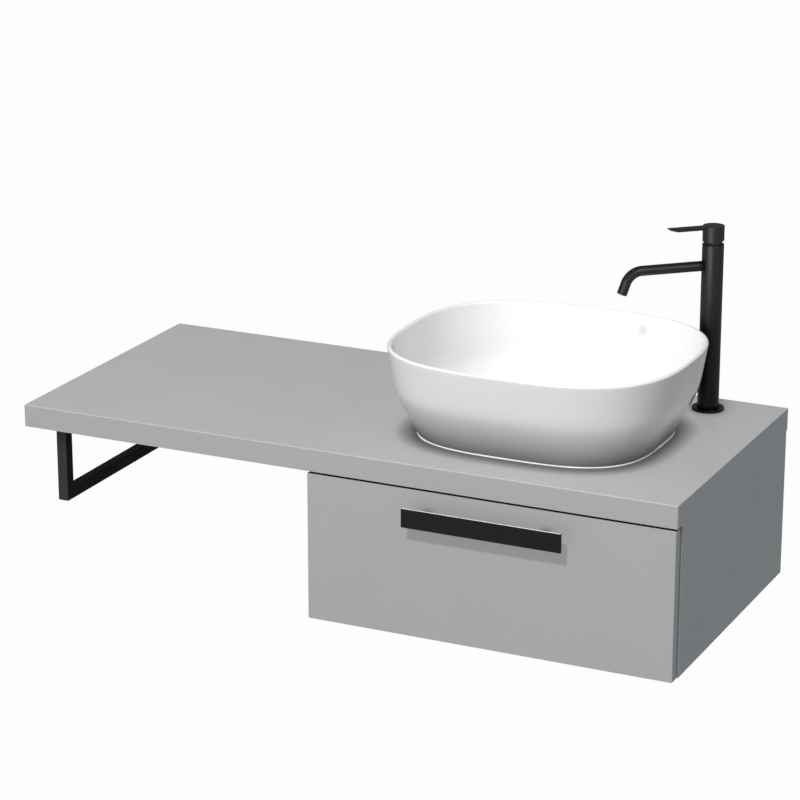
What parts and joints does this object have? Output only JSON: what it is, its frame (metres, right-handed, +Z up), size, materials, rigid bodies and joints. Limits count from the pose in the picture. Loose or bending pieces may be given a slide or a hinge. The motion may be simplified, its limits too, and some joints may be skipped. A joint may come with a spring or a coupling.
{
  "type": "vessel sink on vanity",
  "caption": "Wall-hung washstand: grey worktop on a drawer cabinet and a black side bracket, with a white vessel basin, a click waste, a trap and a tall single-lever mixer tap.",
  "frame": {"origin": "middle of the worktop's rear edge face, which stands against the wall", "axes": "+X to the right along the wall, +Y into the wall, +Z up; the drawer opens towards -Y"},
  "size_m": [1.1, 0.525, 0.574],
  "materials": {
    "grey_lacquer": "satin mid-grey lacquer on fibreboard",
    "carcass_board": "grey melamine-faced board",
    "drawer_board": "light grey melamine-faced board",
    "zinc_steel": "zinc-plated steel",
    "black_metal": "matte black powder coat on steel",
    "white_ceramic": "glossy white glaze",
    "white_sealant": "white silicone",
    "black_tap": "matte black coating on brass",
    "black_waste": "matte black coating on brass",
    "rubber": "black rubber",
    "brass": "machined brass",
    "copper": "drawn copper tube",
    "steel_pin": "ground steel",
    "grey_plastic": "grey engineering plastic",
    "white_plastic": "white polypropylene"
  },
  "bodies": {
    "cabinet": {"aerator": "grey_plastic", "basin": "white_ceramic", "bottom_panel": "carcass_board", "cabinet_hangers": "zinc_steel", "cam_bolts": "zinc_steel", "cam_locks": "zinc_steel", "cartridge_housing": "grey_plastic", "cartridge_nut": "black_tap", "front_rail": "carcass_board", "hanging_rail": "carcass_board", "runner_outer_members": "zinc_steel", "runner_screws": "zinc_steel", "sealant_bead": "white_sealant", "shank_gasket": "rubber", "shank_nut": "brass", "side_left": "grey_lacquer", "side_right": "grey_lacquer", "supply_tubes": "copper", "support_bracket": "black_metal", "tap_column": "black_tap", "tap_flange": "black_tap", "tap_shank": "brass", "tap_spout": "black_tap", "trap_body": "white_plastic", "trap_cup": "white_plastic", "trap_inlet_nut": "white_plastic", "trap_outlet_nut": "white_plastic", "trap_outlet_pipe": "white_plastic", "trap_tailpiece": "white_plastic", "wall_plates": "zinc_steel", "waste_body": "black_waste", "waste_gasket": "rubber", "waste_nut": "brass", "waste_seal": "rubber", "worktop": "grey_lacquer", "worktop_screws": "zinc_steel"},
    "drawer": {"drawer_bottom": "drawer_board", "drawer_side_left": "drawer_board", "drawer_side_right": "drawer_board", "drawer_subfront": "drawer_board", "drawer_back_left": "drawer_board", "drawer_back_right": "drawer_board", "channel_left": "drawer_board", "channel_right": "drawer_board", "channel_front": "drawer_board", "drawer_front": "grey_lacquer", "front_screws": "zinc_steel", "drawer_runner_screws": "zinc_steel", "runner_inner_members": "zinc_steel", "pull_bar": "black_metal", "pull_posts": "black_metal", "pull_screws": "zinc_steel"},
    "runner_carriage": {"runner_middle_members": "zinc_steel"},
    "cartridge_rotor": {"cartridge_carrier": "brass", "pivot_pin": "steel_pin"},
    "lever": {"lever_stem": "brass", "lever_handle": "black_tap", "grub_screw": "black_tap"},
    "plug": {"waste_plug": "black_waste", "plug_stem": "brass"}
  },
  "joints": [
    {"name": "drawer_slide", "type": "slide", "parent": "cabinet", "child": "drawer", "axis": [0, -1, 0], "range_m": [0, 0.38]},
    {"name": "carriage_slide", "type": "slide", "parent": "cabinet", "child": "runner_carriage", "axis": [0, -1, 0], "range_m": [0, 0.19]},
    {"name": "lever_turn", "type": "hinge", "parent": "cabinet", "child": "cartridge_rotor", "pos_m": [0.436, -0.058, 0.294], "axis": [0, 0, 1], "range_deg": [-45, 45]},
    {"name": "lever_lift", "type": "hinge", "parent": "cartridge_rotor", "child": "lever", "pos_m": [0.436, -0.058, 0.294], "axis": [-0.6691, 0.7431, 0], "range_deg": [0, 18]},
    {"name": "plug_press", "type": "slide", "parent": "cabinet", "child": "plug", "axis": [0, 0, -1], "range_m": [0, 0.0052], "stiffness_N_per_m": 600, "springref_m": -0.002}
  ],
  "couplings": [
    {"joint": "carriage_slide", "follows": "drawer_slide", "ratio": 0.5}
  ]
}
